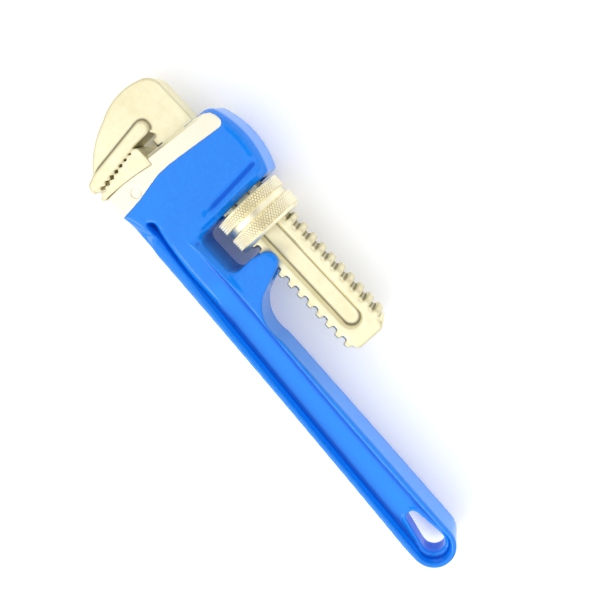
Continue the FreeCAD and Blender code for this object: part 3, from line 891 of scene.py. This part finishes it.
def knurl_band(mesh, mark, hollow, low, high, rows, odd):
    """A band of diamonds at the bottom of the grooves. Every second ring of points
    is turned half a diamond, starting with the first one if odd is 1."""
    rings = []
    for row in range(rows + 1):
        along = low + (high - low) * row / rows
        half_turn = 0.5 * ((row + odd) % 2)
        columns = range(NUT_COLUMNS)
        points = [ring_point(along, GROOVE, column + half_turn) for column in columns]
        rings.append([mesh.verts.new(point) for point in points])
        # every groove point gets that hollowness, for grime and painted shade
        for point in rings[-1]:
            point[hollow] = GRIME_AND_SHADE_HOLLOW
    for row in range(rows + 1):
        for column in range(NUT_COLUMNS):
            before, after = column, (column + 1) % NUT_COLUMNS
            side = after if (row + odd) % 2 else column
            corners = [rings[row][before]]
            corners += [rings[row - 1][side]] if row > 0 else []
            corners += [rings[row][after]]
            corners += [rings[row + 1][side]] if row < rows else []
            mesh.faces.new(corners)[mark] = 1.0


print("radius at the bottom of the knurl, mm:", round(GROOVE, 2))

# %% [markdown]
# The blank is put together from one end to the other. Its faces carry a mark for
# the knurling to find, and its grooves a hollowness, so that the plate puts grime
# and painted shade there. It has to close: the number of open edges is printed.

# %% Nut blank
BANDS = [(-6.7, -1.3, 6, 0), (1.5, 6.3, 5, 1)]


def nut_blank():
    mesh = bmesh.new()
    mark = mesh.faces.layers.float.new("knurl")
    hollow = mesh.verts.layers.float.new("hollow")
    for low, high, rows, odd in BANDS:
        knurl_band(mesh, mark, hollow, low, high, rows, odd)
    end_low = [(NUT_LOW + 0.5, BORE), (NUT_LOW, BORE + 0.5), (NUT_LOW, 13.3), (-7.85, 13.6)]
    plain_rings(mesh, end_low + [(-6.95, 14.4), (-6.8, 14.35), (BANDS[0][0], GROOVE)])
    waist = [(BANDS[0][1], GROOVE), (-1.1, 14.0), (-0.9, 13.8), (1.2, 13.8), (1.4, 14.0)]
    plain_rings(mesh, waist + [(BANDS[1][0], GROOVE)], 0.5)
    end_high = [(BANDS[1][1], GROOVE), (6.36, 14.25), (6.46, 14.0), (NUT_HIGH, 13.8)]
    plain_rings(mesh, end_high + [(NUT_HIGH, BORE + 0.5), (NUT_HIGH - 0.5, BORE)])
    threaded_bore(mesh, NUT_LOW + 0.5, NUT_HIGH - 0.5, ridge_phase())
    bmesh.ops.remove_doubles(mesh, verts=mesh.verts, dist=0.001 * MM)
    bmesh.ops.dissolve_degenerate(mesh, edges=mesh.edges, dist=0.0005 * MM)
    bmesh.ops.recalc_face_normals(mesh, faces=mesh.faces)
    print("nut blank: open edges", sum(not edge.is_manifold for edge in mesh.edges))
    print("nut blank: volume, cm3", round(mesh.calc_volume() * 1e6, 2))
    data = bpy.data.meshes.new("nut_blank")
    mesh.to_mesh(data)
    mesh.free()
    return data


nut = new_object("adjusting_nut_turned", nut_blank())

# %% [markdown]
# A knurling wheel presses two crossing sets of grooves, which leaves a diamond
# standing between them. Geometry Nodes does the pressing: each marked diamond is
# raised from its outline and its top is shrunk, so that the flanks become the
# grooves and a small flat is left where the crest has rubbed.


# %% Knurling with Geometry Nodes
class Nodes:
    """Adds nodes to a geometry tree and links them."""

    def __init__(self, name, sockets):
        self.tree = bpy.data.node_groups.new(name, "GeometryNodeTree")
        face = self.tree.interface
        face.new_socket("Geometry", in_out="INPUT", socket_type="NodeSocketGeometry")
        face.new_socket("Geometry", in_out="OUTPUT", socket_type="NodeSocketGeometry")
        for label, kind, value in sockets:
            socket = face.new_socket(label, in_out="INPUT", socket_type=f"NodeSocket{kind}")
            socket.default_value = value
        self.inputs = self.tree.nodes.new("NodeGroupInput").outputs

    def add(self, kind, settings=None, inputs=None):
        added = self.tree.nodes.new(kind)
        for name, value in (settings or {}).items():
            setattr(added, name, value)
        for name, value in (inputs or {}).items():
            if isinstance(value, bpy.types.NodeSocket):
                self.tree.links.new(value, added.inputs[name])
            else:
                added.inputs[name].default_value = value
        return added.outputs

    def finish(self, geometry, material):
        """Ends the tree: instances made real, the finish put on."""
        real = self.add("GeometryNodeRealizeInstances", None, {"Geometry": geometry})
        inputs = {"Geometry": real["Geometry"], "Material": material}
        done = self.add("GeometryNodeSetMaterial", None, inputs)
        output = self.tree.nodes.new("NodeGroupOutput")
        self.tree.links.new(done["Geometry"], output.inputs["Geometry"])
        return self.tree


def grow(obj, tree, values):
    """Runs a tree on obj with named values and keeps the result as plain mesh."""
    modifier = obj.modifiers.new(tree.name, "NODES")
    modifier.node_group = tree
    for item in tree.interface.items_tree:
        if item.item_type == "SOCKET" and item.in_out == "INPUT" and item.name in values:
            modifier[item.identifier] = values[item.name]
    settle(obj)


def knurl_tree(material):
    sockets = [("Depth", "Float", 0.0004), ("Crest share", "Float", 0.3)]
    build = Nodes("cut_knurl", sockets)
    marked = build.add(
        "GeometryNodeInputNamedAttribute", {"data_type": "FLOAT"}, {"Name": "knurl"}
    )
    raised = build.add(
        "GeometryNodeExtrudeMesh",
        {"mode": "FACES"},
        {
            "Mesh": build.inputs["Geometry"],
            "Selection": marked["Attribute"],
            "Offset Scale": build.inputs["Depth"],
            "Individual": True,
        },
    )
    # the crests get no hollowness, so neither grime nor painted shade
    crests_without_grime_or_shade = build.add(
        "GeometryNodeStoreNamedAttribute",
        {"data_type": "FLOAT", "domain": "POINT"},
        {
            "Geometry": raised["Mesh"],
            "Selection": raised["Top"],
            "Name": "hollow",
            "Value": 0.0,
        },
    )
    shrunk = build.add(
        "GeometryNodeScaleElements",
        {"domain": "FACE"},
        {
            "Geometry": crests_without_grime_or_shade["Geometry"],
            "Selection": raised["Top"],
            "Scale": build.inputs["Crest share"],
        },
    )
    return build.finish(shrunk["Geometry"], material)


grow(nut, knurl_tree(nut_plate), {"Depth": KNURL_DEPTH * MM, "Crest share": 0.28})
shade(nut, 32)
dress(nut, nut_plate, "knurled_nickel", "nut", "adjusting_nut")


# %% [markdown]
# ## The hidden springs
# Inside the housing a coil spring presses a flat strip against the shank's thread.
# The coil follows a rule, so Geometry Nodes winds it: a spiral with equal radii and
# a round wire swept along it. Its height and width come from the frame's own box.


# %% Coil spring
def coil_tree(material):
    sockets = [
        ("Turns", "Float", 6.0),
        ("Mean radius", "Float", 0.0025),
        ("Wire radius", "Float", 0.0004),
        ("Height", "Float", 0.008),
        ("Foot", "Vector", (0.0, 0.0, 0.0)),
    ]
    build = Nodes("wind_coil", sockets)
    spiral = build.add(
        "GeometryNodeCurveSpiral",
        None,
        {
            "Resolution": 48,
            "Rotations": build.inputs["Turns"],
            "Start Radius": build.inputs["Mean radius"],
            "End Radius": build.inputs["Mean radius"],
            "Height": build.inputs["Height"],
        },
    )
    wire = build.add(
        "GeometryNodeCurvePrimitiveCircle",
        {"mode": "RADIUS"},
        {"Resolution": 20, "Radius": build.inputs["Wire radius"]},
    )
    swept = build.add(
        "GeometryNodeCurveToMesh",
        None,
        {"Curve": spiral["Curve"], "Profile Curve": wire["Curve"], "Fill Caps": True},
    )
    stood = build.add(
        "GeometryNodeTransform",
        None,
        {
            "Geometry": swept["Mesh"],
            "Rotation": (-math.pi / 2, 0.0, 0.0),
            "Translation": build.inputs["Foot"],
        },
    )
    return build.finish(stood["Geometry"], material)


WIRE, TURNS = 0.4, 6.0
centre, half = middle_of("coil_spring")
foot = centre - Vector((0.0, half.y - WIRE * MM, 0.0))
values = {
    "Turns": TURNS,
    "Mean radius": half.x - WIRE * MM,
    "Wire radius": WIRE * MM,
    "Height": 2 * half.y - 2 * WIRE * MM,
    "Foot": foot,
}
coil = new_object("coil_spring_wound", bpy.data.meshes.new("coil"))
grow(coil, coil_tree(spring_steel), values)
shade(coil, 60)
dress(coil, spring_steel, "spring_steel", "frame", "coil_spring")

# %% [markdown]
# The strip is sheared from spring stock, so it only loses its burrs, and a small
# turned rivet holds the coil to it.

# %% Strip and rivet
strip = cad_copy("flat_spring", "flat_spring_strip")
skin(strip, 0.14, "flat_spring")
relax(strip, 2, 0.35)
shade(strip)
dress(strip, spring_steel, "spring_steel", "spring_plate", "flat_spring")

centre, half = middle_of("spring_rivet")
foot = centre - Vector((0.0, half.y, 0.0))
RIVET_OUTLINE = [(0.0, 0.0), (0.0, 1.1), (0.8, 1.1), (0.8, 1.8), (1.5, 1.8), (1.9, 1.4), (2.0, 0.0)]


def on_rivet(along, across, up):
    return foot + Vector((across, along, up)) * MM


rivet = new_object("spring_rivet_turned", turned_mesh("rivet", RIVET_OUTLINE, 40, on_rivet))
shade(rivet, 30)
dress(rivet, spring_steel, "spring_steel", "spring_plate", "spring_rivet")

# %% [markdown]
# ## Sizes
# The finished pieces' box is printed beside the engineering model's.

# %% Sizes and finish
final_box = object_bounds()
sizes = {
    "frame": [list(corner) for corner in cad_box],
    "finished": [list(corner) for corner in final_box],
}
for name, corners in sizes.items():
    print(name, [[round(value / MM, 2) for value in corner] for corner in corners])
